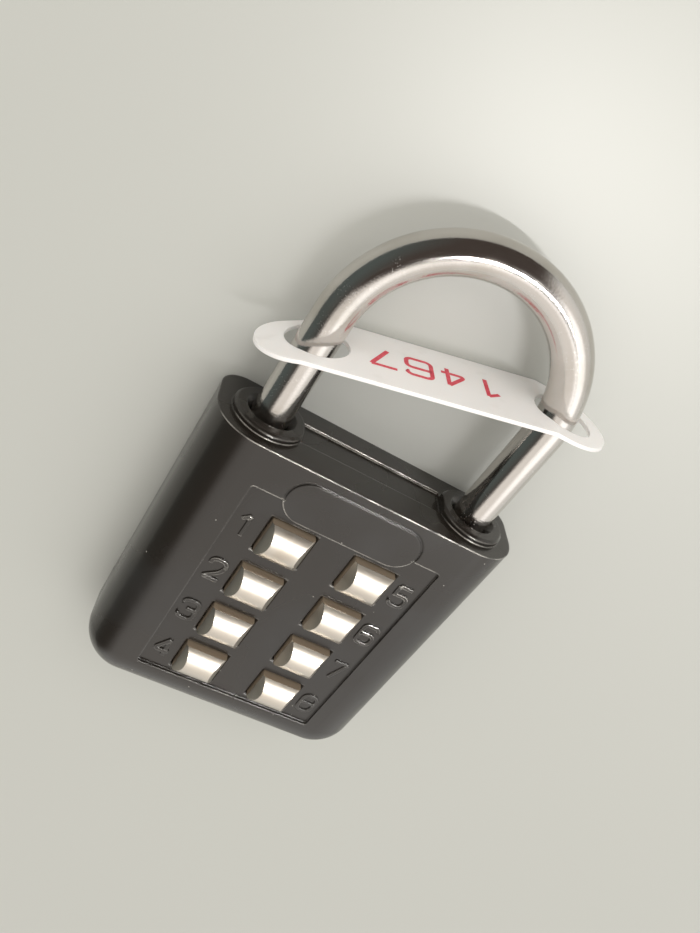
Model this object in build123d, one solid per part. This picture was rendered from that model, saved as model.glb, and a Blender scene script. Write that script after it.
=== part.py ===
from build123d import *
import os
from math import atan, cos, degrees, pi, sin, sqrt

# Push-button padlock, lying on its back. Millimetres.
# X runs across the body, Y from the body's bottom edge towards the shackle, and Z out of the keypad.
# Every level in Y is first measured from the body's bottom edge, and in Z from its back face.

# Body
body_width = 43.5
body_height = 47.6
body_depth = 13.2
corner_radius = 6.5
front_round = 6.2
back_round = 3.4

# Keypad panel, sunk into the front, and the blank oval pad that dips into it
panel_width = 27.2
panel_bottom = 6.9
panel_below_top = 5.5
panel_recess = 0.4
panel_corner = 0.4
pad_width = 19.0
pad_height = 6.4
pad_dip = 2.3
pad_groove_width = 0.3
pad_groove_depth = 0.15

# Shackle: a round bar bent to a half circle, with a long heel leg and a short toe leg
bar_diameter = 5.07
leg_spacing = 30.0
leg_rise = 15.5
toe_depth = 9.0
toe_chamfer = 0.5
shackle_lift = 10.4
bore_clearance = 0.065
collar_wall = 2.3
collar_height = 1.0
collar_chamfer = 0.35
bore_mouth_chamfer = 0.8
toe_bore_extra = 2.0
heel_bore_floor = 5.6

# Shallow channel across the top face between the collars
channel_width = 21.0
channel_from_front = 4.9
channel_from_back = 3.6
channel_depth = 0.4

# Keys, in two columns
key_rows = 4
column_spacing = 11.86
first_row = 11.0
last_row_below_top = 11.64
window_width = 6.4
window_bar = 2.52
window_chamfer = 0.22
key_side_gap = 0.18
key_proud = 1.7
key_shoulder = 0.5
key_end_bevel = 1.0
key_end_foot = 0.2
key_travel = 1.6
key_stop_gap = 0.05
flange_overlap = 0.5
flange_thickness = 0.9
stem_width = 3.0
stem_thickness = 1.6
stem_notch_depth = 0.9
stem_end_gap = 0.3
code_keys = (1, 4, 6, 7)

# Walls and plates
front_wall = 1.4
cover_thickness = 1.4
cover_width = 35.6
cover_bottom = 4.6
cover_below_top = 3.6
cover_corner = 2.5
cover_gap = 0.1
ledge_width = 0.8
guide_thickness = 0.8
gate_thickness = 0.8
plate_gap = 0.05
plate_side_gap = 0.15
guide_hole_gap = 0.15
gate_slide = 1.0
post_diameter = 2.2
boss_diameter = 3.6

# Springs
key_spring_wire = 0.35
key_spring_mean = 4.1
key_spring_length = 4.0
key_spring_turns = 3
shackle_spring_wire = 0.6
shackle_spring_mean = 4.1
shackle_spring_room = 9.4
shackle_spring_turns = 6
latch_spring_wire = 0.3
latch_spring_mean = 1.6
latch_spring_room = 9.0
latch_spring_turns = 6
spring_seat_gap = 0.15
coil_steps = 6
coil_sides = 4

# Latch bolt, laid in from the back, and the toe leg's notch that it enters
bolt_width = 2.2
bolt_length = 6.0
bolt_below_top = 4.9
bolt_past_middle = 1.2
bolt_gap = 0.06
bolt_ratio = 0.5
notch_depth = 1.0
bolt_peg_length = 1.2
bolt_peg_gap = 0.1

# Stop pin beside the heel leg, pressed in from the back, and the full bar left below its flat
stop_pin_diameter = 1.5
stop_pin_bite = 0.9
stop_pin_length = 8.2
heel_tail = 3.82

# Screws
guide_screw_diameter = 1.4
guide_screw_head = 2.6
guide_screw_head_height = 0.7
guide_screw_length = 4.2
cover_screw_diameter = 2.0
cover_screw_head = 3.6
cover_screw_head_height = 1.4
screw_gap = 0.03

# Back cover's screw lug under the toe bore, and its hooks
web_thickness = 2.6
lug_width = 4.0
lug_length = 4.4
lug_height = 7.6
lug_gap = 0.15
hook_width = 5.0
hook_length = 1.2
hook_thickness = 1.0
hook_spacing = 16.0
hook_gap = 0.15

# Thin plastic tag on both legs, cut narrower at its left end and drooping at both.
# Each reach and each bend's start is measured along it from the middle of the shackle.
tag_width = 13.0
tag_thickness = 0.5
tag_left_reach = 22.6
tag_right_reach = 21.5
tag_left_round = 5.1
tag_taper_start = 12.5
tag_hole_diameter = 7.8
tag_hole_offset = 0.4
tag_rise = 15.6
tag_slope = 0.25
tag_left_bend = 16.9
tag_left_droop = 8.5
tag_right_bend = 12.7
tag_right_droop = 12.0
tag_bend_radius = 3.0

# How far a cut runs past the face it opens, how close two places count as one,
# and how much smaller an edge's round stays than the corner it runs round
over = 1.0
same = 0.01
round_margin = 0.3

# Levels in Y
top = body_height
arc_centre = top + leg_rise
overall_length = arc_centre + leg_spacing / 2 + bar_diameter / 2
collar_top = top + collar_height
toe_end = top - toe_depth
toe_floor = toe_end - toe_bore_extra
heel_end = heel_bore_floor + shackle_spring_room
stop_reach = stop_pin_diameter / 2 + screw_gap
flat_bottom = heel_end + heel_tail
stop_pin_level = flat_bottom + shackle_lift + stop_reach
row_pitch = (top - last_row_below_top - first_row) / (key_rows - 1)
rows = [first_row + i * row_pitch for i in range(key_rows)]
screw_rows = [(rows[0] + rows[1]) / 2, (rows[-2] + rows[-1]) / 2]
post_rows = [rows[0] - row_pitch / 4, (rows[1] + rows[2]) / 2, rows[-1] + row_pitch / 4]
window_height = row_pitch - window_bar
panel_top = top - panel_below_top
panel_height = panel_top - panel_bottom
pad_centre = panel_top - pad_dip + pad_height / 2
bolt_level = top - bolt_below_top
cover_height = top - cover_below_top - cover_bottom
cover_middle = cover_bottom + cover_height / 2
lug_top = toe_floor - web_thickness

# Levels in Z
front = body_depth
mid_depth = body_depth / 2
panel_level = front - panel_recess
wall_back = panel_level - front_wall
flange_top = wall_back - key_stop_gap
flange_bottom = flange_top - flange_thickness
guide_top = flange_bottom - key_spring_length
guide_bottom = guide_top - guide_thickness
gate_top = guide_bottom - plate_gap
gate_bottom = gate_top - gate_thickness
stem_end = cover_thickness + key_travel + stem_end_gap
bolt_back = cover_thickness + plate_gap
bolt_front = mid_depth + bolt_past_middle
bolt_middle = (bolt_back + bolt_front) / 2

# Places in X, and sizes that follow from the fits
bar_radius = bar_diameter / 2
bore_radius = bar_radius + bore_clearance
leg_x = leg_spacing / 2
stop_pin_x = -leg_x + bar_radius - stop_pin_bite + stop_pin_diameter / 2
bolt_tip = leg_x - bar_radius + notch_depth - bolt_gap
bolt_heel = bolt_tip - bolt_length
channel_start = bolt_heel - latch_spring_room
bolt_peg_radius = (latch_spring_mean - latch_spring_wire) / 2 - bolt_peg_gap
cap_width = window_width - 2 * key_side_gap
cap_height = window_height - 2 * key_side_gap
flange_width = window_width + 2 * flange_overlap
flange_height = window_height + 2 * flange_overlap
room_width = column_spacing + flange_width + 2 * key_side_gap
room_bottom = rows[0] - flange_height / 2 - key_side_gap
room_top = rows[-1] + flange_height / 2 + key_side_gap
plate_room_width = room_width + 2 * ledge_width
plate_room_bottom = room_bottom - ledge_width
plate_room_top = room_top + ledge_width
guide_width = plate_room_width - 2 * plate_side_gap
gate_width = guide_width - 2 * gate_slide
stem_hole_width = stem_width + 2 * guide_hole_gap
stem_hole_height = stem_thickness + 2 * guide_hole_gap
guide_screw_hole = guide_screw_diameter + 2 * screw_gap
cover_screw_hole = cover_screw_diameter + 2 * screw_gap
cover_screw_length = web_thickness + lug_gap + lug_length
place = Pos(0, -overall_length / 2, 0)


def block(x0, x1, y0, y1, z0, z1):
    """A box between two corners."""
    size = Box(x1 - x0, y1 - y0, z1 - z0, align=Align.MIN)
    return Pos(x0, y0, z0) * size


def post(x, y, width, height, z0, z1):
    """A rectangular column along Z."""
    return block(x - width / 2, x + width / 2, y - height / 2, y + height / 2, z0, z1)


def rod_z(x, y, z0, z1, diameter):
    """A round rod along Z."""
    lengthways = (Align.CENTER, Align.CENTER, Align.MIN)
    return Pos(x, y, z0) * Cylinder(diameter / 2, z1 - z0, align=lengthways)


def rod_y(x, z, y0, y1, diameter):
    """A round rod along Y."""
    lengthways = (Align.CENTER, Align.CENTER, Align.MIN)
    return Pos(x, y0, z) * Rot(-90, 0, 0) * Cylinder(diameter / 2, y1 - y0, align=lengthways)


def rounded_plate(width, height, corner, thickness):
    """A plate with round corners, on the XY plane and centred on the origin."""
    return extrude(RectangleRounded(width, height, corner), amount=thickness)


def coil(mean, wire, length, turns):
    """A compression spring along Z from the origin: one wire, wound at an even pitch.

    The wire is a ruled loft through small squares, which keeps so many turns light.
    """
    rise = length - wire
    path = Pos(0, 0, wire / 2) * Helix(pitch=rise / turns, height=rise, radius=mean / 2)
    sections = []
    for i in range(turns * coil_steps + 1):
        along = i / (turns * coil_steps)
        angle = 2 * pi * turns * along
        outward = (cos(angle), sin(angle), 0)
        station = Plane(origin=path @ along, x_dir=outward, z_dir=path % along)
        sections.append(station * RegularPolygon(wire / 2, coil_sides))
    return loft(sections, ruled=True)


def key_places():
    """Key numbers with their places: 1 to 4 down the left column, 5 to 8 down the right."""
    places = []
    for column in range(2):
        x = (column - 0.5) * column_spacing
        for row in range(key_rows):
            number = column * key_rows + row + 1
            places.append((number, x, rows[key_rows - 1 - row]))
    return places


def body_block():
    """The outside of the housing: a block with full rounds down its sides and across its bottom."""
    profile = Rectangle(body_width, body_height, align=(Align.CENTER, Align.MIN))
    profile = fillet(profile.vertices().sort_by(Axis.Y)[:2], corner_radius)
    solid = extrude(profile, amount=body_depth)
    largest = corner_radius - round_margin
    for end, size in ((-1, front_round), (0, back_round)):
        rim = solid.faces().sort_by(Axis.Z)[end].edges()
        solid = fillet([e for e in rim if e.center().Y < top - same], min(size, largest))
    return solid


def collars():
    """The raised rings round both shackle bores."""
    ring = rod_y(0, mid_depth, top - corner_radius, collar_top, 2 * (bore_radius + collar_wall))
    ring = chamfer(ring.edges().sort_by(Axis.Y)[-1], collar_chamfer)
    return [Pos(side * leg_x, 0, 0) * ring for side in (-1, 1)]


def bore(x, bottom):
    """One shackle bore with the chamfer at its mouth."""
    hole = rod_y(x, mid_depth, bottom, collar_top + over, 2 * bore_radius)
    mouth = Cone(bore_radius, bore_radius + bore_mouth_chamfer, bore_mouth_chamfer)
    middle = collar_top - bore_mouth_chamfer / 2
    return hole + Pos(x, middle, mid_depth) * Rot(-90, 0, 0) * mouth


def pad_outline(grow):
    """The oval pad's outline, larger all round by the given amount."""
    return Pos(0, pad_centre) * SlotOverall(pad_width + 2 * grow, pad_height + 2 * grow)


def panel_cut():
    """The sunk keypad panel, less the oval pad that stays level with the frame."""
    middle = panel_bottom + panel_height / 2
    sunk = rounded_plate(panel_width, panel_height, panel_corner, panel_recess + over)
    return Pos(0, middle, panel_level) * sunk - extrude(pad_outline(0), amount=front + 2 * over)


def pad_groove():
    """The fine line round the part of the pad that lies above the panel."""
    line = pad_outline(pad_groove_width / 2) - pad_outline(-pad_groove_width / 2)
    groove = Pos(0, 0, front - pad_groove_depth) * extrude(line, amount=over)
    return groove & block(-pad_width, pad_width, panel_top, top, 0, front + over)


def key_window():
    """One key's window through the front wall, with its edge broken."""
    hole = post(0, 0, window_width, window_height, wall_back - over, panel_level)
    mouth = Pos(0, 0, panel_level - window_chamfer) * Rectangle(window_width, window_height)
    return hole + extrude(mouth, amount=2 * window_chamfer, taper=-45)


def key_room():
    """The room behind the front wall: wide at the back for both plates, narrower for the keys."""
    half_plate = plate_room_width / 2
    half_room = room_width / 2
    wide = block(-half_plate, half_plate, plate_room_bottom, plate_room_top, 0, guide_top)
    return wide + block(-half_room, half_room, room_bottom, room_top, 0, wall_back)


def bolt_channel():
    """The channel for the latch bolt and its spring, open to the back and to the toe bore."""
    half = bolt_width / 2 + bolt_gap
    return block(
        channel_start, bolt_tip + bolt_gap, bolt_level - half, bolt_level + half,
        0, bolt_front + bolt_gap
    )


def cover_seat():
    """The shallow seat that holds the back cover level with the back face."""
    seat = rounded_plate(
        cover_width + 2 * cover_gap, cover_height + 2 * cover_gap, cover_corner + cover_gap,
        cover_thickness + over
    )
    return Pos(0, cover_middle, -over) * seat


def lug_pocket():
    """The pocket for the cover's screw lug, under the toe bore."""
    half = lug_width / 2 + lug_gap
    low = lug_top - lug_length - 2 * lug_gap
    return block(leg_x - half, leg_x + half, low, lug_top, 0, cover_thickness + lug_height + lug_gap)


def hooks(gap):
    """The cover's two hooks at its lower edge, or with a gap the slots that they slip into."""
    pair = Part()
    for side in (-1, 1):
        x = side * hook_spacing / 2
        half = hook_width / 2 + gap
        low = cover_bottom - hook_length - gap
        z0 = cover_thickness - hook_thickness - gap
        pair += block(x - half, x + half, low, cover_bottom + over, z0, cover_thickness + gap)
    return pair


def housing():
    """The die-cast housing, open at the back."""
    solid = body_block()
    for ring in collars():
        solid += ring
    half = channel_width / 2
    solid -= block(
        -half, half, top - channel_depth, top + over, channel_from_back, front - channel_from_front
    )
    solid -= panel_cut()
    solid -= pad_groove()
    window = key_window()
    for _, x, y in key_places():
        solid -= Pos(x, y, 0) * window
    solid -= bore(-leg_x, heel_bore_floor)
    solid -= bore(leg_x, toe_floor)
    solid -= cover_seat()
    solid -= key_room()
    solid -= bolt_channel()
    solid -= lug_pocket()
    hole_end = guide_bottom + guide_screw_length + screw_gap
    for y in screw_rows:
        solid += rod_z(0, y, guide_top, wall_back + front_wall / 2, boss_diameter)
        solid -= rod_z(0, y, guide_top, hole_end, guide_screw_hole)
    pin_end = cover_thickness + stop_pin_length + plate_gap
    solid -= rod_z(stop_pin_x, stop_pin_level, 0, pin_end, stop_pin_diameter + 2 * screw_gap)
    solid -= rod_y(leg_x, mid_depth, lug_top - over, toe_floor + over, cover_screw_hole)
    return solid - hooks(hook_gap)


def back_cover():
    """The steel back cover, with its screw lug, its two hooks and the posts behind the gate plate."""
    plate = rounded_plate(cover_width, cover_height, cover_corner, cover_thickness)
    solid = Pos(0, cover_middle, 0) * plate
    high = lug_top - lug_gap
    low = high - lug_length
    half = lug_width / 2
    solid += block(leg_x - half, leg_x + half, low, high, 0, cover_thickness + lug_height)
    solid += hooks(0)
    for y in post_rows:
        solid += rod_z(0, y, cover_thickness / 2, gate_bottom - plate_gap, post_diameter)
    return solid - rod_y(leg_x, mid_depth, low - over, high + over, cover_screw_hole)


def inner_plate(width, z0, z1):
    """A steel plate that fills the plate room's length, with a hole for each key's stem."""
    bottom = plate_room_bottom + plate_side_gap
    upper = plate_room_top - plate_side_gap
    solid = block(-width / 2, width / 2, bottom, upper, z0, z1)
    for _, x, y in key_places():
        solid -= post(x, y, stem_hole_width, stem_hole_height, 0, front)
    return solid


def guide_plate():
    """The plate that guides the key stems and carries their springs."""
    solid = inner_plate(guide_width, guide_bottom, guide_top)
    for y in screw_rows:
        solid -= rod_z(0, y, 0, front, guide_screw_hole)
    return solid


def gate_plate():
    """The plate that can slide only when every stem turns a notch to it, clear of the screw heads."""
    solid = inner_plate(gate_width, gate_bottom, gate_top)
    head_hole = guide_screw_head + 2 * guide_hole_gap
    for y in screw_rows:
        solid -= post(gate_slide / 2, y, head_hole + gate_slide, head_hole, 0, front)
    return solid


def key_side():
    """A key cap seen from its end: straight sides and a crowned top."""
    half = cap_height / 2
    shoulder = front + key_shoulder
    sides = Polyline((-half, shoulder), (-half, flange_top), (half, flange_top), (half, shoulder))
    crown = ThreePointArc((half, shoulder), (0, front + key_proud), (-half, shoulder))
    return Plane.YZ * make_face(sides + crown)


def key(number):
    """A key: crowned metal cap, flange behind the front wall, and a stem with a notch on each side.

    One notch meets the gate plate with the key at rest and the other with it pressed. The stems
    of the keys in the code are turned half round.
    """
    solid = extrude(key_side(), amount=cap_width / 2, both=True)
    peak = front + key_proud
    foot = front + key_end_foot
    for end in (-1, 1):
        edge = end * cap_width / 2
        outside = edge + end * over
        inner = edge - end * key_end_bevel
        wedge = Polyline(
            (edge, foot), (outside, foot), (outside, peak + over), (inner, peak + over),
            (inner, peak), close=True
        )
        solid -= extrude(Plane.XZ * make_face(wedge), amount=cap_height, both=True)
    solid += post(0, 0, flange_width, flange_height, flange_bottom, flange_top)
    solid += post(0, 0, stem_width, stem_thickness, stem_end, flange_bottom)
    facing = -1 if number in code_keys else 1
    for side, drop in ((facing, 0), (-facing, key_travel)):
        solid -= post(
            side * stem_width / 2, 0, 2 * stem_notch_depth, 2 * stem_thickness,
            gate_bottom - plate_gap + drop, gate_top + plate_gap + drop
        )
    return solid


def toe_notch():
    """The notch that the latch bolt enters, with the flank that drives the bolt back."""
    floor = leg_x - bar_radius + notch_depth
    open_side = floor - notch_depth - over
    half = bolt_width / 2 + bolt_gap
    flank = (notch_depth + over) / bolt_ratio
    outline = Polyline(
        (floor, bolt_level + half), (floor, bolt_level - half), (open_side, bolt_level - half - flank),
        (open_side, bolt_level + half), close=True
    )
    return extrude(make_face(outline), amount=body_depth)


def shackle():
    """The bent bar, with the toe leg's latch notch, and the heel leg's flat and turning groove."""
    heel = Line((-leg_x, heel_end), (-leg_x, arc_centre))
    bow = CenterArc((0, arc_centre), leg_x, 180, -180)
    toe = Line((leg_x, arc_centre), (leg_x, toe_end))
    path = Pos(0, 0, mid_depth) * (heel + bow + toe)
    section = Pos(-leg_x, heel_end, mid_depth) * Rot(-90, 0, 0) * Circle(bar_radius)
    solid = sweep(section, path=path)
    ends = solid.faces().filter_by(GeomType.PLANE)
    solid = chamfer([f.edges()[0] for f in ends], toe_chamfer)
    solid -= toe_notch()
    flat_x = stop_pin_x - stop_reach
    flat_top = stop_pin_level + stop_reach
    solid -= block(flat_x, bar_diameter - leg_x, flat_bottom, flat_top, 0, body_depth)
    groove_top = flat_bottom + 2 * stop_reach
    groove = rod_y(-leg_x, mid_depth, flat_bottom, groove_top, 2 * bar_diameter)
    core = rod_y(-leg_x, mid_depth, flat_bottom - over, groove_top + over, 2 * (flat_x + leg_x))
    return solid - (groove - core)


def latch_bolt():
    """The latch bolt, with the peg that its spring sits on."""
    half = bolt_width / 2
    solid = block(bolt_heel, bolt_tip, bolt_level - half, bolt_level + half, bolt_back, bolt_front)
    peg = Cylinder(bolt_peg_radius, bolt_peg_length)
    return solid + Pos(bolt_heel - bolt_peg_length / 2, bolt_level, bolt_middle) * Rot(0, 90, 0) * peg


def tag_outline():
    """The tag seen from above: round ends, a taper to the left one, and a hole for each leg."""
    half = tag_width / 2
    left = Pos(tag_left_round - tag_left_reach, half - tag_left_round) * Circle(tag_left_round)
    right = Pos(tag_right_reach - half, 0) * Circle(half)
    far_side = Line((-tag_taper_start, -half), (0, -half))
    outline = make_hull([*left.edges(), *right.edges(), far_side])
    hole_x = leg_x * sqrt(1 + tag_slope**2)
    for side in (-1, 1):
        outline -= Pos(side * hole_x, tag_hole_offset) * Circle(tag_hole_diameter / 2)
    return outline


def tag_side():
    """The tag seen from its edge: a flat strip whose ends bend down, with both tips overlong."""
    ends = ((-1, tag_left_bend, tag_left_droop), (1, tag_right_bend, tag_right_droop))
    edges = []
    tips = []
    for level in (tag_thickness / 2, -tag_thickness / 2):
        radius = tag_bend_radius + level
        edges.append(Line((-tag_left_bend, level), (tag_right_bend, level)))
        for end, start, droop in ends:
            bend = JernArc((end * start, level), (end, 0), radius, -end * droop)
            tip = Line(bend @ 1, (bend @ 1) + (bend % 1) * tag_width)
            edges += [bend, tip]
            tips.append(tip @ 1)
    edges += [Line(tips[0], tips[2]), Line(tips[1], tips[3])]
    return make_face(edges)


def tag():
    """The plastic tag, slanting across the shackle."""
    strip = extrude(tag_side(), amount=tag_width, both=True)
    strip &= Rot(90, 0, 0) * extrude(tag_outline(), amount=tag_width, both=True)
    return Pos(0, top + tag_rise, mid_depth) * Rot(0, 0, degrees(atan(tag_slope))) * strip


def screw(shank, length, head, head_height):
    """A cheese-head screw along -Z: its head stands above the origin, with a slot across it."""
    body = rod_z(0, 0, -length, 0, shank) + rod_z(0, 0, 0, head_height, head)
    slot = head_height / 2
    return body - post(0, 0, 2 * head, slot, head_height - slot, head_height + over)


def guide_screws():
    """The two screws that hold the guide plate to its bosses."""
    one = Rot(180, 0, 0) * screw(
        guide_screw_diameter, guide_screw_length, guide_screw_head, guide_screw_head_height
    )
    return Compound(children=[Pos(0, y, guide_bottom) * one for y in screw_rows])


def cover_screw():
    """The screw at the bottom of the toe bore that holds the back cover."""
    one = screw(cover_screw_diameter, cover_screw_length, cover_screw_head, cover_screw_head_height)
    return Pos(leg_x, toe_floor, mid_depth) * Rot(-90, 0, 0) * one


def stop_pin():
    """The pin that keeps the heel leg in the body."""
    end = cover_thickness + stop_pin_length
    return rod_z(stop_pin_x, stop_pin_level, cover_thickness, end, stop_pin_diameter)


def springs():
    """Every spring by name, at its length with the lock shut."""
    found = {}
    seated = key_spring_length - 2 * plate_gap
    small = coil(key_spring_mean, key_spring_wire, seated, key_spring_turns)
    for number, x, y in key_places():
        found[f"key_spring_{number}"] = Pos(x, y, guide_top + plate_gap) * small
    seated = shackle_spring_room - 2 * spring_seat_gap
    large = coil(shackle_spring_mean, shackle_spring_wire, seated, shackle_spring_turns)
    foot = Pos(-leg_x, heel_bore_floor + spring_seat_gap, mid_depth)
    found["shackle_spring"] = foot * Rot(-90, 0, 0) * large
    seated = latch_spring_room - 2 * spring_seat_gap
    thin = coil(latch_spring_mean, latch_spring_wire, seated, latch_spring_turns)
    foot = Pos(channel_start + spring_seat_gap, bolt_level, bolt_middle)
    found["latch_spring"] = foot * Rot(0, 90, 0) * thin
    return found


def main():
    """Builds every piece and writes one STEP file for each."""
    pieces = {
        "housing": housing(),
        "back_cover": back_cover(),
        "guide_plate": guide_plate(),
        "gate_plate": gate_plate(),
        "shackle": shackle(),
        "latch_bolt": latch_bolt(),
        "stop_pin": stop_pin(),
        "guide_screws": guide_screws(),
        "cover_screw": cover_screw(),
        "tag": tag(),
    }
    for number, x, y in key_places():
        pieces[f"key_{number}"] = Pos(x, y, 0) * key(number)
    pieces.update(springs())
    os.makedirs("parts", exist_ok=True)
    for name, piece in pieces.items():
        export_step(place * piece, f"parts/{name}.step")
    print(len(pieces), "nodes, overall length", round(overall_length, 2))


main()
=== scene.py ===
"""Dresses the push-button padlock: finishes, numerals, the tag's digits, a plain studio and the camera."""
import functools
import logging
import math
from dataclasses import dataclass
from enum import Enum

import bmesh
import bpy
from mathutils import Matrix, Vector


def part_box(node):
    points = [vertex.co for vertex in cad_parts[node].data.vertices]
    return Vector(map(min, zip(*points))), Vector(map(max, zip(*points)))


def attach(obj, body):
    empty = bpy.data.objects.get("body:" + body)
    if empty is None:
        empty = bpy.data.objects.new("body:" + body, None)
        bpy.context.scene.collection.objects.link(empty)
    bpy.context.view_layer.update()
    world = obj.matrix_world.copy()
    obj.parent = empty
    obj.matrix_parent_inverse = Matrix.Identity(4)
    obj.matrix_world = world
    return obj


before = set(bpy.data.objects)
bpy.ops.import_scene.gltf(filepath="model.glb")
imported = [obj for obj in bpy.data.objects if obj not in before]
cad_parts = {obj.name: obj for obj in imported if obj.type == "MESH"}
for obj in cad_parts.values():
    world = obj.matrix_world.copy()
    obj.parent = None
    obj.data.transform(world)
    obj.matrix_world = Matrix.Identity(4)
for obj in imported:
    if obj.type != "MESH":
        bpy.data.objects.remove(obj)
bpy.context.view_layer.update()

MM = 0.001

Colour = tuple[float, float, float]
Place = tuple[float, float, float]
Span = tuple[float, float]
Source = bpy.types.NodeSocket | float | tuple[float, ...]
StrokePoint = tuple[float, float, float]

KEY_COUNT = 8

log = logging.getLogger("padlock")


def piece_of(bm: bmesh.types.BMesh, name: str) -> bpy.types.Object:
    """Turns a drawn mesh into an object in the scene, and frees the drawing.

    Args:
        bm: the drawn mesh.
        name: the object's name.

    Returns:
        The object.
    """
    mesh = bpy.data.meshes.new(name)
    bm.to_mesh(mesh)
    bm.free()
    piece = bpy.data.objects.new(name, mesh)
    bpy.context.scene.collection.objects.link(piece)
    return piece


class Kind(Enum):
    """The shader nodes that the finishes are wired from."""

    BACKGROUND = "ShaderNodeBackground"
    BEVEL = "ShaderNodeBevel"
    BUMP = "ShaderNodeBump"
    COLOUR_MIX = "ShaderNodeMix"
    COMBINE = "ShaderNodeCombineXYZ"
    COORDINATES = "ShaderNodeTexCoord"
    GEOMETRY = "ShaderNodeNewGeometry"
    GROUP = "ShaderNodeGroup"
    MATHS = "ShaderNodeMath"
    NOISE = "ShaderNodeTexNoise"
    OUTPUT = "ShaderNodeOutputMaterial"
    RANGE = "ShaderNodeMapRange"
    SEPARATE = "ShaderNodeSeparateXYZ"
    SHADER = "ShaderNodeBsdfPrincipled"
    VECTOR_MATHS = "ShaderNodeVectorMath"
    VORONOI = "ShaderNodeTexVoronoi"
    WORLD_OUTPUT = "ShaderNodeOutputWorld"


class Socket(Enum):
    """What kind of value a node group takes or gives."""

    VALUE = "NodeSocketFloat"
    VECTOR = "NodeSocketVector"


class Sheet:
    """A wiring sheet: one node tree, filled by short calls."""

    def __init__(self, tree: bpy.types.NodeTree) -> None:
        """Takes over the node tree to fill."""
        self.tree = tree

    def put(self, kind: Kind, sockets: dict[str | int, Source], **settings: object) -> bpy.types.Node:
        """Adds one node.

        Args:
            kind: which node.
            sockets: a value or another node's output for each named input.
            settings: the node's own settings.

        Returns:
            The node.
        """
        node = self.tree.nodes.new(kind.value)
        for name, value in settings.items():
            setattr(node, name, value)
        self.feed(node, sockets)
        return node

    def feed(self, node: bpy.types.Node, sockets: dict[str | int, Source]) -> None:
        """Sets a node's inputs, or wires them to other nodes.

        Args:
            node: the node.
            sockets: a value or another node's output for each named input.
        """
        for name, source in sockets.items():
            if isinstance(source, bpy.types.NodeSocket):
                self.tree.links.new(source, node.inputs[name])
            else:
                node.inputs[name].default_value = source

    def maths(self, operation: str, first: Source, second: Source = 0.0) -> bpy.types.NodeSocket:
        """Works out one value from two.

        Args:
            operation: the sum to do, by Blender's name for it.
            first: the first value.
            second: the second value.

        Returns:
            The result.
        """
        return self.put(Kind.MATHS, {0: first, 1: second}, operation=operation).outputs[0]

    def times(self, first: Source, second: Source) -> bpy.types.NodeSocket:
        """Returns the product of two values."""
        return self.maths("MULTIPLY", first, second)

    def spread(self, value: Source, low: Source, high: Source, to_low: float = 0.0,
               to_high: float = 1.0) -> bpy.types.NodeSocket:
        """Stretches one range of a value over another, held at the ends.

        Args:
            value: the value.
            low: where the range starts.
            high: where the range ends.
            to_low: the result at the start.
            to_high: the result at the end.

        Returns:
            The result.
        """
        sockets = {"Value": value, "From Min": low, "From Max": high, "To Min": to_low, "To Max": to_high}
        return self.put(Kind.RANGE, sockets, clamp=True).outputs["Result"]

    def between(self, share: Source, first: float, second: float) -> bpy.types.NodeSocket:
        """Returns a value that runs from the first to the second as the share goes from 0 to 1."""
        return self.spread(share, 0.0, 1.0, first, second)

    def blend(self, share: Source, first: Source | Colour, second: Source | Colour) -> bpy.types.NodeSocket:
        """Mixes two colours.

        Args:
            share: how much of the second.
            first: the first colour.
            second: the second colour.

        Returns:
            The mixed colour.
        """
        first, second = (c + (1.0,) if isinstance(c, tuple) else c for c in (first, second))
        node = self.put(Kind.COLOUR_MIX, {0: share, 6: first, 7: second}, data_type="RGBA")
        return node.outputs[2]

    def place(self) -> bpy.types.NodeSocket:
        """Returns the point on the piece, in metres."""
        return self.put(Kind.COORDINATES, {}).outputs["Object"]

    def axes(self, vector: Source) -> tuple[bpy.types.NodeSocket, ...]:
        """Returns a vector's X, Y and Z."""
        return tuple(self.put(Kind.SEPARATE, {0: vector}).outputs)

    def upward(self) -> bpy.types.NodeSocket:
        """Returns how far up the surface looks, from -1 to 1."""
        return self.axes(self.put(Kind.GEOMETRY, {}).outputs["Normal"])[2]

    def noise(self, scale: Source, detail: float = 2.0, vector: Source | None = None,
              warp: float = 0.0) -> bpy.types.NodeSocket:
        """Adds a cloudy pattern.

        Args:
            scale: how many blotches to the metre.
            detail: how many finer layers it has.
            vector: where to read it, or the point on the piece.
            warp: how far it is stirred.

        Returns:
            The pattern's value.
        """
        sockets = {"Vector": vector or self.place(), "Scale": scale, "Detail": detail, "Distortion": warp}
        return self.put(Kind.NOISE, sockets).outputs[0]

    def group(self, tree: bpy.types.NodeTree, **values: Source) -> bpy.types.Node:
        """Returns the node of a placed node group, with the given values for its inputs."""
        return self.put(Kind.GROUP, values, node_tree=tree)


class Effect:
    """A shared effect: a shader node group with named inputs and outputs."""

    def __init__(self, name: str, inputs: dict[str, float], outputs: dict[str, Socket]) -> None:
        """Makes an empty group.

        Args:
            name: the group's name.
            inputs: each input's usual value.
            outputs: each output's kind.
        """
        self.tree = bpy.data.node_groups.new(name, "ShaderNodeTree")
        for title, value in inputs.items():
            socket = self.tree.interface.new_socket(title, in_out="INPUT", socket_type=Socket.VALUE.value)
            socket.default_value = value
        for title, kind in outputs.items():
            self.tree.interface.new_socket(title, in_out="OUTPUT", socket_type=kind.value)
        self.sheet = Sheet(self.tree)
        self.given = self.tree.nodes.new("NodeGroupInput").outputs
        self.wanted = self.tree.nodes.new("NodeGroupOutput").inputs

    def give(self, title: str, source: bpy.types.NodeSocket) -> None:
        """Wires the output of that title."""
        self.tree.links.new(source, self.wanted[title])


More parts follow.
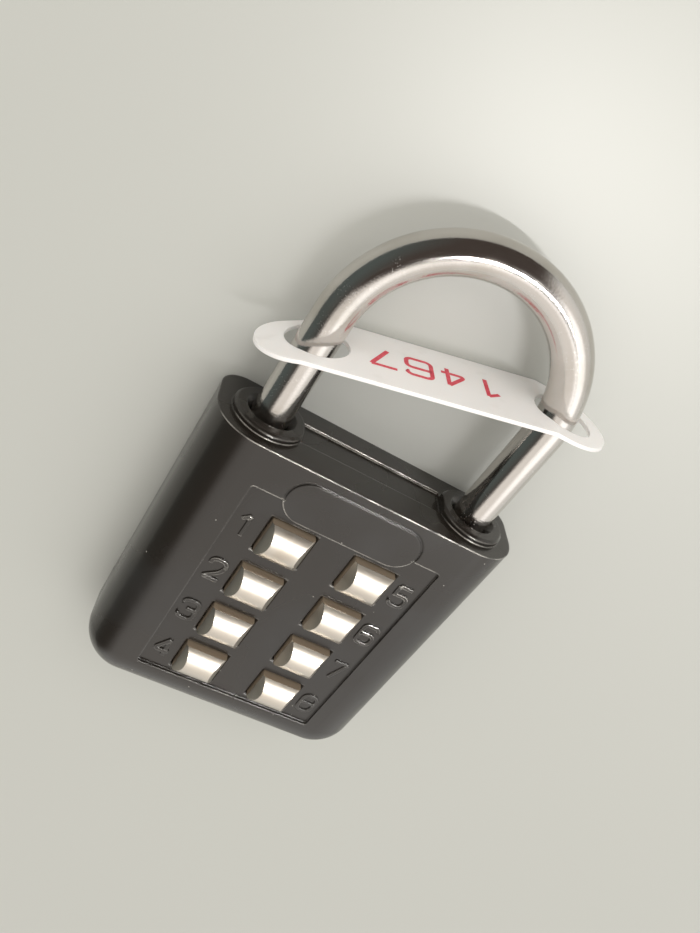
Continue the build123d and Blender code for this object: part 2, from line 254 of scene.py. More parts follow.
@functools.cache
def soft_edges() -> bpy.types.NodeTree:
    """Makes the group that rounds hard edges to a radius and marks where they are.

    Returns:
        The node group.
    """
    edge_match = (0.997, 0.94)
    effect = Effect("soft_edges", {"Radius": 0.0002}, {"Normal": Socket.VECTOR, "Edge": Socket.VALUE})
    sheet = effect.sheet
    rounded = sheet.put(Kind.BEVEL, {"Radius": effect.given["Radius"]}, samples=6).outputs[0]
    flat = sheet.put(Kind.GEOMETRY, {}).outputs["Normal"]
    match = sheet.put(Kind.VECTOR_MATHS, {0: rounded, 1: flat}, operation="DOT_PRODUCT").outputs["Value"]
    effect.give("Normal", rounded)
    effect.give("Edge", sheet.spread(match, *edge_match))
    return effect.tree


@functools.cache
def highlit_edges() -> bpy.types.NodeTree:
    """Makes the group that marks where a painted highlight goes: the rounding of hard edges that run across,
    where it turns from the face at the angle at which the lamp catches it, broken into streaks.

    Returns:
        The node group.
    """
    leaning, upright, level = (0.14, 0.26), (0.74, 0.6), (0.4, 0.7)
    patches = 380.0
    effect = Effect("highlit_edges", {"Radius": 0.0003, "Low": 0.30, "High": 0.55}, {"Mask": Socket.VALUE})
    sheet = effect.sheet
    edges = sheet.group(soft_edges(), Radius=effect.given["Radius"])
    _, along, up = sheet.axes(edges.outputs["Normal"])
    steep = sheet.maths("ABSOLUTE", along)
    # Painted highlight: keeps only the edge normals that lean the way the lamp's gleam falls on them.
    band = sheet.times(sheet.spread(steep, *leaning), sheet.spread(steep, *upright))
    band = sheet.times(band, sheet.spread(up, *level))
    broken = sheet.spread(sheet.noise(patches, detail=4.0), effect.given["Low"], effect.given["High"])
    effect.give("Mask", sheet.times(sheet.times(band, edges.outputs["Edge"]), broken))
    return effect.tree


@functools.cache
def fine_grain() -> bpy.types.NodeTree:
    """Makes the group with the small unevenness of a cast, moulded or coated surface.

    Returns:
        The node group.
    """
    finer, finer_share = 4.3, 0.35
    effect = Effect("fine_grain", {"Scale": 1500.0, "Depth": 1.0}, {"Height": Socket.VALUE})
    sheet = effect.sheet
    broad = sheet.noise(effect.given["Scale"], detail=3.0)
    tight = sheet.noise(sheet.times(effect.given["Scale"], finer))
    both = sheet.maths("ADD", broad, sheet.times(tight, finer_share))
    effect.give("Height", sheet.times(both, effect.given["Depth"]))
    return effect.tree


@functools.cache
def smudges() -> bpy.types.NodeTree:
    """Makes the group with soft patches, such as those that handling leaves.

    Returns:
        The node group.
    """
    effect = Effect("smudges", {"Scale": 60.0, "Low": 0.45, "High": 0.7}, {"Mask": Socket.VALUE})
    sheet = effect.sheet
    cloud = sheet.noise(effect.given["Scale"], detail=4.0, warp=0.3)
    sockets = {"Value": cloud, "From Min": effect.given["Low"], "From Max": effect.given["High"]}
    node = sheet.put(Kind.RANGE, sockets, interpolation_type="SMOOTHSTEP")
    effect.give("Mask", node.outputs["Result"])
    return effect.tree


@functools.cache
def dust() -> bpy.types.NodeTree:
    """Makes the group with fine specks on the faces that look up.

    Returns:
        The node group.
    """
    looks_up = (0.2, 0.7)
    effect = Effect("dust", {"Scale": 900.0, "Share": 0.06, "Size": 0.12}, {"Mask": Socket.VALUE})
    sheet = effect.sheet
    cells = sheet.put(Kind.VORONOI, {"Vector": sheet.place(), "Scale": effect.given["Scale"]})
    near = sheet.maths("LESS_THAN", cells.outputs["Distance"], effect.given["Size"])
    chosen = sheet.maths("LESS_THAN", sheet.axes(cells.outputs["Color"])[0], effect.given["Share"])
    effect.give("Mask", sheet.times(sheet.times(near, chosen), sheet.spread(sheet.upward(), *looks_up)))
    return effect.tree


@functools.cache
def hairlines() -> bpy.types.NodeTree:
    """Makes the group with fine lines drawn out along one direction, as a brush or a die leaves them.

    Returns:
        The node group.
    """
    inputs = {"Across X": 9000.0, "Across Y": 300.0, "Across Z": 9000.0}
    effect = Effect("hairlines", inputs, {"Lines": Socket.VALUE})
    sheet = effect.sheet
    parts = sheet.axes(sheet.place())
    stretched = [sheet.times(part, effect.given[title]) for part, title in zip(parts, inputs)]
    joined = sheet.put(Kind.COMBINE, dict(enumerate(stretched)))
    effect.give("Lines", sheet.noise(1.0, detail=3.0, vector=joined.outputs[0]))
    return effect.tree


@dataclass(frozen=True)
class Grain:
    """The unevenness of a cast, moulded or coated surface.

    Args:
        scale: how many bumps to the metre.
        depth: how high they are, as a share of the bump's distance.
    """

    scale: float
    depth: float = 1.0

    def height(self, sheet: Sheet) -> bpy.types.NodeSocket:
        """Returns the bumps' height, placed on a wiring sheet."""
        return sheet.group(fine_grain(), Scale=self.scale, Depth=self.depth).outputs["Height"]


@dataclass(frozen=True)
class Patches:
    """Soft patches, such as handling marks, stains or scuffs.

    Args:
        scale: how many blotches to the metre.
        low: the cloud's value at which a patch starts.
        high: its value at which the patch is full.
    """

    scale: float
    low: float
    high: float

    def mask(self, sheet: Sheet) -> bpy.types.NodeSocket:
        """Returns the patches' mask, placed on a wiring sheet."""
        return sheet.group(smudges(), Scale=self.scale, Low=self.low, High=self.high).outputs["Mask"]


@dataclass(frozen=True)
class Specks:
    """Fine specks on the faces that look up.

    Args:
        scale: how many places there are to the metre.
        share: how many of them have a speck.
        size: how large a speck is, as a share of its place.
    """

    scale: float
    share: float
    size: float

    def mask(self, sheet: Sheet) -> bpy.types.NodeSocket:
        """Returns the specks' mask, placed on a wiring sheet."""
        return sheet.group(dust(), Scale=self.scale, Share=self.share, Size=self.size).outputs["Mask"]


@dataclass(frozen=True)
class Lines:
    """Fine lines drawn out along the axis with the lowest count.

    Args:
        x: how many there are to the metre along X.
        y: the same along Y.
        z: the same along Z.
    """

    x: float
    y: float
    z: float

    def pattern(self, sheet: Sheet) -> bpy.types.NodeSocket:
        """Returns the lines' value, placed on a wiring sheet."""
        counts = {"Across X": self.x, "Across Y": self.y, "Across Z": self.z}
        return sheet.group(hairlines(), **counts).outputs["Lines"]


@dataclass(frozen=True)
class Finish:
    """A surface finish. Each one wires its own material.

    Args:
        name: the material's name.
        colour: the main colour.
        roughness: how dull the clean surface is.
        edge_radius: the radius that hard edges seem to have, in metres.
    """

    name: str
    colour: Colour
    roughness: float
    edge_radius: float

    def material(self) -> bpy.types.Material:
        """Makes the material the first time that it is asked for.

        Returns:
            The material.
        """
        made = bpy.data.materials.get(self.name)
        if made is None:
            made = bpy.data.materials.new(self.name)
            made.use_nodes = True
            made.node_tree.nodes.clear()
            sheet = Sheet(made.node_tree)
            shader = sheet.put(Kind.SHADER, {"Base Color": self.colour + (1.0,), "Roughness": self.roughness})
            sheet.put(Kind.OUTPUT, {"Surface": shader.outputs[0]})
            self.wire(sheet, shader)
        return made

    def wire(self, sheet: Sheet, shader: bpy.types.Node) -> None:
        """Adds the finish's own detail.

        Args:
            sheet: the material's wiring sheet.
            shader: its shader.
        """
        raise NotImplementedError

    def bumped(self, sheet: Sheet, shader: bpy.types.Node, height: Source, strength: float,
               distance: float) -> bpy.types.NodeSocket:
        """Rounds the hard edges and lays a bump over them.

        Args:
            sheet: the material's wiring sheet.
            shader: its shader.
            height: the bump's height, from 0 to 1.
            strength: how strong it is.
            distance: how high 1 is, in metres.

        Returns:
            The mask of the hard edges.
        """
        edges = sheet.group(soft_edges(), Radius=self.edge_radius)
        sockets = {"Height": height, "Strength": strength, "Distance": distance,
                   "Normal": edges.outputs["Normal"]}
        sheet.feed(shader, {"Normal": sheet.put(Kind.BUMP, sockets).outputs[0]})
        return edges.outputs["Edge"]

    def dress(self, *names: str) -> None:
        """Gives the finish to CAD nodes.

        Args:
            names: the nodes' names.
        """
        for name in names:
            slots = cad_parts[name].data.materials
            slots.clear()
            slots.append(self.material())


@dataclass(frozen=True)
class BlackEnamel(Finish):
    """Stoved black paint on a zinc casting: a little orange peel, handling marks, dust, thinned edges and a
    painted highlight along the edges that run across.

    Args:
        specular: how strongly the paint itself reflects.
        gloss: how strong its clear coat is.
        coat_roughness: how dull that coat is.
        grain: the orange peel.
        grain_depth: how high that is, in metres.
        marks: the handling marks.
        dulled: the paint's colour under them.
        dullness: how dull they are.
        smeared: how much of the gloss is left under them.
        specks: the dust.
        speck: its colour.
        worn: the paint's colour where it has thinned at the edges.
        wear_scale: how many thin places an edge has to the metre.
        wear_cloud: the cloud's values between which the paint gets thin.
        wear: how thin it is at least and at most.
        edge_highlight: the colour of a painted highlight, a bright tone of rubbed-through metal laid on the
            edges that run across.
        highlight_metal: how metallic that painted highlight is.
        highlight_reach: where the painted highlight is weakest and where it is strongest, along Y.
        highlight_range: how strong it is there.
        calm: where the frame round the blank pad starts and ends, along Y. Its edges have no gleam.
        calm_fade: over what length it starts and ends.
        calm_side: where it ends and where it is whole, out from the middle line.
        top: where the body ends and the collars start, along Y.
        collar_rise: how far above that the collars' edges lose their gleam.
        collar_share: how much of it is left there.
    """

    name: str = "black_enamel"
    colour: Colour = (0.0140, 0.0108, 0.0078)
    roughness: float = 0.26
    edge_radius: float = 0.00032
    specular: float = 0.52
    gloss: float = 0.3
    coat_roughness: float = 0.07
    grain: Grain = Grain(1300.0)
    grain_depth: float = 0.000010
    marks: Patches = Patches(55.0, 0.42, 0.68)
    dulled: Colour = (0.019, 0.017, 0.0155)
    dullness: float = 0.38
    smeared: float = 0.6
    specks: Specks = Specks(1200.0, 0.035, 0.11)
    speck: Colour = (0.34, 0.33, 0.30)
    worn: Colour = (0.05, 0.046, 0.041)
    wear_scale: float = 420.0
    wear_cloud: Span = (0.42, 0.62)
    wear: Span = (0.1, 0.75)
    edge_highlight: Colour = (0.80, 0.77, 0.71)
    highlight_metal: float = 0.4
    highlight_reach: Span = (-0.018, 0.006)
    highlight_range: Span = (0.12, 1.0)
    calm: Span = (0.0021, 0.0066)
    calm_fade: float = 0.0004
    calm_side: Span = (0.0104, 0.0100)
    top: float = 0.0072825
    collar_rise: Span = (0.00005, 0.0002)
    collar_share: float = 0.25

    def wire(self, sheet: Sheet, shader: bpy.types.Node) -> None:
        """Adds the paint's detail.

        Args:
            sheet: the material's wiring sheet.
            shader: its shader.
        """
        shown, highlit = self._gleam_and_highlight(sheet)
        edge = self.bumped(sheet, shader, self.grain.height(sheet), strength=0.5, distance=self.grain_depth)
        edge = sheet.times(edge, shown)
        marks, specks = self.marks.mask(sheet), self.specks.mask(sheet)
        thin = sheet.spread(sheet.noise(self.wear_scale, detail=4.0), *self.wear_cloud, *self.wear)
        paint = sheet.blend(marks, self.colour, self.dulled)
        paint = sheet.blend(sheet.times(edge, thin), paint, self.worn)
        # Painted highlight: a bright metal colour laid on the edges that run across, strongest towards the
        # shackle.
        edge_highlight = sheet.times(sheet.group(highlit_edges(), Radius=self.edge_radius).outputs["Mask"], highlit)
        paint = sheet.blend(edge_highlight, paint, self.edge_highlight)
        gloss = sheet.between(marks, self.gloss, self.gloss * self.smeared)
        dull = sheet.between(marks, self.roughness, self.dullness)
        sheet.feed(shader, {
            "Base Color": sheet.blend(specks, paint, self.speck),
            # The painted highlight is partly metallic, so it shows bright in any reflection.
            "Metallic": sheet.times(edge_highlight, self.highlight_metal),
            "Roughness": sheet.maths("MAXIMUM", dull, specks),
            "Specular IOR Level": self.specular,
            "Coat Weight": sheet.maths("MAXIMUM", gloss, edge),
            "Coat Roughness": self.coat_roughness,
        })

    def _gleam_and_highlight(self, sheet: Sheet) -> tuple[bpy.types.NodeSocket, bpy.types.NodeSocket]:
        """Works out how the edges look along the body. The painted highlight on them is strongest towards the
        shackle.

        Args:
            sheet: the material's wiring sheet.

        Returns:
            How much the edges gleam, and how strong the painted highlight on them is.
        """
        x, y, _ = sheet.axes(sheet.place())
        low, high = self.calm
        along = sheet.times(sheet.spread(y, low, low + self.calm_fade),
                            sheet.spread(y, high, high - self.calm_fade))
        within = sheet.times(along, sheet.spread(sheet.maths("ABSOLUTE", x), *self.calm_side))
        start, end = (self.top + rise for rise in self.collar_rise)
        collars = sheet.spread(y, start, end, 1.0, self.collar_share)
        shown = sheet.times(collars, sheet.maths("SUBTRACT", 1.0, within))
        # The painted highlight grows along Y towards the shackle, and is left off where the edges have no
        # gleam.
        return shown, sheet.times(sheet.spread(y, *self.highlight_reach, *self.highlight_range), shown)


@dataclass(frozen=True)
class ChromePlate(Finish):
    """Polished chrome on a drawn steel bar, with faint draw lines, finger marks and fields of fine pits.

    Args:
        marks: the finger marks.
        marked: the colour under them.
        dullness: how dull they are.
        grain: the plating's unevenness.
        relief: how high the lines and the unevenness are, in metres.
        lines: how many draw lines there are to the metre across the bar, and how many breaks along it.
        line_share: how strongly the lines show in the relief.
        line_cloud: the lines' values between which they get dull.
        line_dullness: how much duller the strongest are.
        pits: the pits.
        pit_scale: how many fields of pits there are to the metre.
        pit_cloud: the cloud's values between which a field starts.
        pitting: how dull the pits are.
        bow_level: where the bow's centre is, along Y.
    """

    name: str = "chrome_plate"
    colour: Colour = (0.65, 0.62, 0.59)
    roughness: float = 0.085
    edge_radius: float = 0.0003
    marks: Patches = Patches(110.0, 0.46, 0.66)
    marked: Colour = (0.57, 0.54, 0.50)
    dullness: float = 0.15
    grain: Grain = Grain(3600.0, 0.8)
    relief: float = 0.000022
    lines: Span = (5200.0, 170.0)
    line_share: float = 0.3
    line_cloud: Span = (0.55, 0.75)
    line_dullness: float = 0.12
    pits: Specks = Specks(6200.0, 0.26, 0.27)
    pit_scale: float = 260.0
    pit_cloud: Span = (0.5, 0.64)
    pitting: float = 0.45
    bow_level: float = 22.78 * MM

    def wire(self, sheet: Sheet, shader: bpy.types.Node) -> None:
        """Adds the plating's detail.

        Args:
            sheet: the material's wiring sheet.
            shader: its shader.
        """
        lines, marks = self._draw_lines(sheet), self.marks.mask(sheet)
        height = sheet.maths("ADD", sheet.times(lines, self.line_share), self.grain.height(sheet))
        self.bumped(sheet, shader, height, strength=0.4, distance=self.relief)
        dull = sheet.between(marks, self.roughness, self.dullness)
        dull = sheet.maths("ADD", dull, sheet.spread(lines, *self.line_cloud, to_high=self.line_dullness))
        field = sheet.spread(sheet.noise(self.pit_scale, detail=3.0), *self.pit_cloud, to_high=self.pitting)
        sheet.feed(shader, {
            "Base Color": sheet.blend(marks, self.colour, self.marked),
            "Metallic": 1.0,
            "Roughness": sheet.maths("MAXIMUM", dull, sheet.times(self.pits.mask(sheet), field)),
        })

    def _draw_lines(self, sheet: Sheet) -> bpy.types.NodeSocket:
        """Draws fine lines that run along the legs and round the bow.

        Args:
            sheet: the material's wiring sheet.

        Returns:
            The lines' value.
        """
        x, y, z = sheet.axes(sheet.place())
        across, along = self.lines
        above = sheet.maths("MAXIMUM", sheet.maths("SUBTRACT", y, self.bow_level), 0.0)
        out = sheet.maths("SQRT", sheet.maths("ADD", sheet.times(x, x), sheet.times(above, above)))
        joined = sheet.put(Kind.COMBINE, {
            0: sheet.times(out, across),
            1: sheet.times(sheet.maths("ADD", x, y), along),
            2: sheet.times(z, across),
        })
        return sheet.noise(1.0, detail=3.0, vector=joined.outputs[0])


@dataclass(frozen=True)
class KeyMetal(Finish):
    """Cast keys with a pale nickel plating, satin from the tumbler and brighter where fingers polish them.

    Args:
        stains: the patches of tarnish.
        tarnish: their colour.
        side: the colour of the sides, which sit down in the windows: painted shade, darker and browner than
            the tops.
        side_metal: how metallic the sides are.
        top: how far up a face looks where the painted shade of the sides gives way and where the plated
            colour is whole.
        polish: how much brighter the edges are.
        lines: the tumbler's lines.
        line_cloud: the lines' values between which the roughness changes.
        line_dullness: how far it changes, down and up.
        grain: the casting's unevenness.
        grain_depth: how high that and the lines are, in metres.
    """

    name: str = "key_nickel"
    colour: Colour = (0.61, 0.565, 0.50)
    roughness: float = 0.34
    edge_radius: float = 0.00018
    stains: Patches = Patches(260.0, 0.5, 0.78)
    tarnish: Colour = (0.53, 0.47, 0.395)
    side: Colour = (0.30, 0.235, 0.17)
    side_metal: float = 0.25
    top: Span = (0.15, 0.5)
    polish: float = 0.14
    lines: Lines = Lines(900.0, 7000.0, 7000.0)
    line_cloud: Span = (0.3, 0.7)
    line_dullness: Span = (-0.03, 0.05)
    grain: Grain = Grain(3200.0, 0.7)
    grain_depth: float = 0.000006

    def wire(self, sheet: Sheet, shader: bpy.types.Node) -> None:
        """Adds the plating's detail.

        Args:
            sheet: the material's wiring sheet.
            shader: its shader.
        """
        lines = self.lines.pattern(sheet)
        height = sheet.maths("ADD", self.grain.height(sheet), lines)
        edge = self.bumped(sheet, shader, height, strength=0.5, distance=self.grain_depth)
        # Painted shade: faces that do not look up, the sides down in the windows, take a darker brown, less
        # metallic colour.
        top = sheet.spread(sheet.upward(), *self.top)
        plated = sheet.blend(self.stains.mask(sheet), self.colour, self.tarnish)
        low, high = (self.roughness + change for change in self.line_dullness)
        lined = sheet.spread(lines, *self.line_cloud, low, high)
        sheet.feed(shader, {
            "Base Color": sheet.blend(top, self.side, plated),
            "Metallic": sheet.between(top, self.side_metal, 1.0),
            "Roughness": sheet.maths("SUBTRACT", lined, sheet.times(edge, self.polish)),
        })


@dataclass(frozen=True)
class TagPlastic(Finish):
    """Thin white plastic sheet, a little milky, faintly rippled and scuffed where it slides on the bar.

    Args:
        glow: how milky it is.
        glow_reach: how far red, green and blue light spread in it, in millimetres.
        scuffs: the scuffed patches.
        scuffed: their colour.
        dullness: how dull they are.
        ripple_scale: how many ripples to the metre.
        ripple_depth: how high they are, in metres.
        grain: the sheet's unevenness, beside the ripples.
    """

    name: str = "tag_plastic"
    colour: Colour = (0.90, 0.875, 0.865)
    roughness: float = 0.34
    edge_radius: float = 0.0001
    glow: float = 0.35
    glow_reach: Colour = (0.8, 0.7, 0.65)
    scuffs: Patches = Patches(300.0, 0.56, 0.8)
    scuffed: Colour = (0.84, 0.815, 0.80)
    dullness: float = 0.55
    ripple_scale: float = 130.0
    ripple_depth: float = 0.00008
    grain: Grain = Grain(2400.0, 0.06)

    def wire(self, sheet: Sheet, shader: bpy.types.Node) -> None:
        """Adds the ripples, the grain and the scuffs.

        Args:
            sheet: the material's wiring sheet.
            shader: its shader.
        """
        height = sheet.maths("ADD", sheet.noise(self.ripple_scale), self.grain.height(sheet))
        self.bumped(sheet, shader, height, strength=0.5, distance=self.ripple_depth)
        scuffs = self.scuffs.mask(sheet)
        sheet.feed(shader, {
            "Base Color": sheet.blend(scuffs, self.colour, self.scuffed),
            "Roughness": sheet.between(scuffs, self.roughness, self.dullness),
            "Subsurface Weight": self.glow,
            "Subsurface Radius": self.glow_reach,
            "Subsurface Scale": MM,
        })


@dataclass(frozen=True)
class RedInk(Finish):
    """Red marking ink, thicker in some places than in others.

    Args:
        patches: the thin places.
        thin: their colour.
        dullness: how dull they are.
        grain: the ink's unevenness.
        grain_depth: how high that is, in metres.
    """

    name: str = "red_ink"
    colour: Colour = (0.66, 0.042, 0.075)
    roughness: float = 0.42
    edge_radius: float = 0.00002
    patches: Patches = Patches(1500.0, 0.42, 0.7)
    thin: Colour = (0.78, 0.13, 0.17)
    dullness: float = 0.6
    grain: Grain = Grain(5000.0)
    grain_depth: float = 0.000004

    def wire(self, sheet: Sheet, shader: bpy.types.Node) -> None:
        """Adds the ink's unevenness.

        Args:
            sheet: the material's wiring sheet.
            shader: its shader.
        """
        thin = self.patches.mask(sheet)
        self.bumped(sheet, shader, self.grain.height(sheet), strength=0.3, distance=self.grain_depth)
        sheet.feed(shader, {
            "Base Color": sheet.blend(thin, self.colour, self.thin),
            "Roughness": sheet.between(thin, self.roughness, self.dullness),
        })


@dataclass(frozen=True)
class PlainMetal(Finish):
    """Bare metal for the pieces inside, with machining lines and a dull bloom.

    Args:
        bloom: the colour where it has dulled.
        lines: the machining lines.
        line_depth: how deep they are, in metres.
        patches: where it has dulled.
        dullness: how dull it is there.
        brighter: how much brighter than the surface a bare edge is.
        edge_share: how much of that shows.
    """

    bloom: Colour
    lines: Lines
    line_depth: float = 0.000008
    patches: Patches = Patches(380.0, 0.45, 0.75)
    dullness: float = 0.45
    brighter: float = 1.15
    edge_share: float = 0.5

    def wire(self, sheet: Sheet, shader: bpy.types.Node) -> None:
        """Adds the lines and the bloom.

        Args:
            sheet: the material's wiring sheet.
            shader: its shader.
        """
        edge = self.bumped(sheet, shader, self.lines.pattern(sheet), strength=0.5, distance=self.line_depth)
        bloom = self.patches.mask(sheet)
        bright = tuple(min(1.0, part * self.brighter) for part in self.colour)
        metal = sheet.blend(bloom, self.colour, self.bloom)
        sheet.feed(shader, {
            "Base Color": sheet.blend(sheet.times(edge, self.edge_share), metal, bright),
            "Metallic": 1.0,
            "Roughness": sheet.between(bloom, self.roughness, self.dullness),
        })


@dataclass(frozen=True)
class FloorFinish(Finish):
    """A pale plain floor with a soft sheen.

    Args:
        uneven: the colour in the floor's faint clouds.
        dullness: how dull it is in them.
        cloud_scale: how many clouds to the metre.
        cloud: the clouds' values between which the sheen changes.
    """

    name: str = "pale_floor"
    colour: Colour = (0.475, 0.483, 0.458)
    roughness: float = 0.42
    edge_radius: float = 0.0
    uneven: Colour = (0.468, 0.48, 0.447)
    dullness: float = 0.5
    cloud_scale: float = 7.0
    cloud: Span = (0.3, 0.7)

    def wire(self, sheet: Sheet, shader: bpy.types.Node) -> None:
        """Adds the floor's faint clouds.

        Args:
            sheet: the material's wiring sheet.
            shader: its shader.
        """
        cloud = sheet.noise(self.cloud_scale)
        sheet.feed(shader, {
            "Base Color": sheet.blend(cloud, self.colour, self.uneven),
            "Roughness": sheet.spread(cloud, *self.cloud, self.roughness, self.dullness),
        })


STEEL = PlainMetal("bright_steel", (0.62, 0.605, 0.58), 0.26, 0.0001, (0.46, 0.45, 0.43),
                   Lines(900.0, 6000.0, 6000.0))
BRASS = PlainMetal("rolled_brass", (0.80, 0.61, 0.30), 0.30, 0.0001, (0.58, 0.42, 0.20),
                   Lines(6000.0, 400.0, 400.0))
ENAMEL = BlackEnamel()
COVER_PAINT = BlackEnamel(name="cover_paint", colour=(0.014, 0.014, 0.014), roughness=0.38, dullness=0.5,
                          gloss=0.15, grain=Grain(2100.0), grain_depth=0.00002,
                          specks=Specks(1200.0, 0.03, 0.11))
CHROME = ChromePlate()
KEY_METAL = KeyMetal()
TAG_PLASTIC = TagPlastic()
RED_INK = RedInk()
FLOOR = FloorFinish()

# The radius of a digit's corners, as a share of its width.
ROUND = 0.44
BENT = 0.28
SHARP = 0.0
# Each digit's strokes: whether the line closes, and its points. A point is a share of the width, a share
# of the height and the corner's radius.
STROKES: dict[int, tuple[tuple[bool, tuple[StrokePoint, ...]], ...]] = {
    1: ((False, ((0.56, 1.0, SHARP), (0.56, 0.0, SHARP))),
        (False, ((0.10, 0.76, SHARP), (0.56, 1.0, SHARP)))),
    2: ((False, ((0.0, 0.72, SHARP), (0.0, 1.0, ROUND), (1.0, 1.0, ROUND), (1.0, 0.52, ROUND),
                 (0.0, 0.0, SHARP))),
        (False, ((0.0, 0.0, SHARP), (1.0, 0.0, SHARP)))),
    3: ((False, ((0.0, 0.80, SHARP), (0.0, 1.0, ROUND), (1.0, 1.0, ROUND), (1.0, 0.0, ROUND),
                 (0.0, 0.0, ROUND), (0.0, 0.2, SHARP))),
        (False, ((0.36, 0.52, SHARP), (0.98, 0.52, SHARP)))),
    4: ((False, ((0.74, 1.0, SHARP), (0.0, 0.28, BENT), (1.0, 0.28, SHARP))),
        (False, ((0.74, 1.0, SHARP), (0.74, 0.0, SHARP)))),
    5: ((False, ((0.06, 1.0, SHARP), (0.06, 0.56, SHARP), (1.0, 0.56, ROUND), (1.0, 0.0, ROUND),
                 (0.0, 0.0, ROUND), (0.0, 0.2, SHARP))),
        (False, ((0.06, 1.0, SHARP), (0.92, 1.0, SHARP)))),
    6: ((False, ((1.0, 0.82, SHARP), (1.0, 1.0, ROUND), (0.0, 1.0, ROUND), (0.0, 0.0, ROUND),
                 (1.0, 0.0, ROUND), (1.0, 0.54, ROUND), (0.0, 0.54, SHARP))),),
    7: ((False, ((1.0, 1.0, SHARP), (0.34, 0.0, SHARP))),
        (False, ((0.0, 1.0, SHARP), (1.0, 1.0, SHARP)))),
    8: ((True, ((0.0, 0.0, ROUND), (0.0, 1.0, ROUND), (1.0, 1.0, ROUND), (1.0, 0.0, ROUND))),
        (False, ((0.0, 0.52, SHARP), (1.0, 0.52, SHARP)))),
}


@dataclass(frozen=True)
class Lettering:
    """Digits drawn as strokes with a square section.

    Args:
        width: from the first stroke's middle to the last one's, in metres.
        height: the same upwards.
        stroke: how wide a stroke is.
        relief: how far the strokes stand above the face.
        sunk: how far they run into it.
        eased: how far their edges are rounded.
        step: how much lower each further stroke of a digit is.
        turns: how many steps a round corner has.
    """

    width: float
    height: float
    stroke: float
    relief: float
    sunk: float
    eased: float
    step: float = 0.004 * MM
    turns: int = 8

    def digit(self, name: str, number: int, place: Matrix) -> bpy.types.Object:
        """Builds one digit.

        Args:
            name: the piece's name.
            number: which digit.
            place: where its middle goes, with its face towards the place's Z.

        Returns:
            The piece, with its place in its mesh.
        """
        bm = bmesh.new()
        for turn, (closed, points) in enumerate(STROKES[number]):
            self._wall(bm, closed, points, self.relief + self.sunk - turn * self.step)
        bmesh.ops.recalc_face_normals(bm, faces=bm.faces[:])
        bmesh.ops.translate(bm, verts=bm.verts[:], vec=(-self.width / 2, -self.height / 2, -self.sunk))
        bmesh.ops.transform(bm, matrix=place, verts=bm.verts[:])
        piece = piece_of(bm, name)
        thick = piece.modifiers.new("stroke", "SOLIDIFY")
        thick.thickness = self.stroke
        thick.offset = 0.0
        thick.use_even_offset = True
        ease = piece.modifiers.new("eased_edges", "BEVEL")
        ease.width = self.eased
        ease.segments = 2
        ease.limit_method = "ANGLE"
        return piece

    def _wall(self, bm: bmesh.types.BMesh, closed: bool, points: tuple[StrokePoint, ...],
              height: float) -> None:
        """Draws one stroke's middle line, with its corners rounded, and raises it to a thin wall.

        Args:
            bm: the mesh to draw in.
            closed: whether the last point joins the first.
            points: shares of the width and height, and of the width for the corner's radius.
            height: the wall's height.
        """
        others = set(bm.edges)
        corners = [bm.verts.new((x * self.width, y * self.height, 0.0)) for x, y, _ in points]
        following = corners[1:] + corners[:1] if closed else corners[1:]
        for start, end in zip(corners, following):
            bm.edges.new((start, end))
        for radius in sorted({p[2] for p in points} - {SHARP}):
            turned = [v for v, p in zip(corners, points) if p[2] == radius]
            bmesh.ops.bevel(bm, geom=turned, offset=radius * self.width, offset_type="OFFSET",
                            segments=self.turns, profile=0.5, affect="VERTICES", material=-1,
                            clamp_overlap=True)
        line = [e for e in bm.edges if e not in others]
        raised = bmesh.ops.extrude_edge_only(bm, edges=line)["geom"]
        risen = [part for part in raised if isinstance(part, bmesh.types.BMVert)]
        bmesh.ops.translate(bm, verts=risen, vec=(0.0, 0.0, height))


@dataclass(frozen=True)
class Housing:
    """The cast body with its back cover and the raised numerals beside the keys.

    Args:
        panel_recess: how far the keypad panel lies below the front.
        numeral_out: how far each numeral's middle is from the body's middle line.
        numerals: how the numerals are drawn.
    """

    panel_recess: float = 0.4 * MM
    numeral_out: float = 11.5 * MM
    numerals: Lettering = Lettering(2.15 * MM, 3.45 * MM, 0.56 * MM, 0.2 * MM, 0.1 * MM, 0.1 * MM)

    def build(self) -> list[bpy.types.Object]:
        """Builds and dresses the numerals.

        Returns:
            The numerals, from 1 upwards.
        """
        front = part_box("housing")[1].z
        pieces = []
        for number in range(1, KEY_COUNT + 1):
            low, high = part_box(f"key_{number}")
            middle = (low + high) / 2
            side = -1.0 if middle.x < 0 else 1.0
            place = Matrix.Translation((side * self.numeral_out, middle.y, front - self.panel_recess))
            piece = self.numerals.digit(f"numeral_{number}", number, place)
            piece.data.materials.append(ENAMEL.material())
            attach(piece, "body")
            pieces.append(piece)
        return pieces

    def dress(self) -> None:
        """Gives the casting and its cover their paint."""
        ENAMEL.dress("housing")
        COVER_PAINT.dress("back_cover")


@dataclass(frozen=True)
class KeyBank:
    """The push keys and the springs under them.

    Args:
        count: how many keys there are.
    """

    count: int = KEY_COUNT

    def dress(self) -> None:
        """Gives the keys their plating and the springs their steel."""
        for number in range(1, self.count + 1):
            KEY_METAL.dress(f"key_{number}")
            STEEL.dress(f"key_spring_{number}")


@dataclass(frozen=True)
class Mechanism:
    """The plates, bolt, pin, screws and springs inside.

    Args:
        steel: the pieces of steel.
        brass: the pieces of brass.
    """

    steel: tuple[str, ...] = ("latch_bolt", "latch_spring", "shackle_spring", "stop_pin", "guide_screws",
                              "cover_screw")
    brass: tuple[str, ...] = ("guide_plate", "gate_plate")

    def dress(self) -> None:
        """Gives the inner pieces their metal."""
        STEEL.dress(*self.steel)
        BRASS.dress(*self.brass)


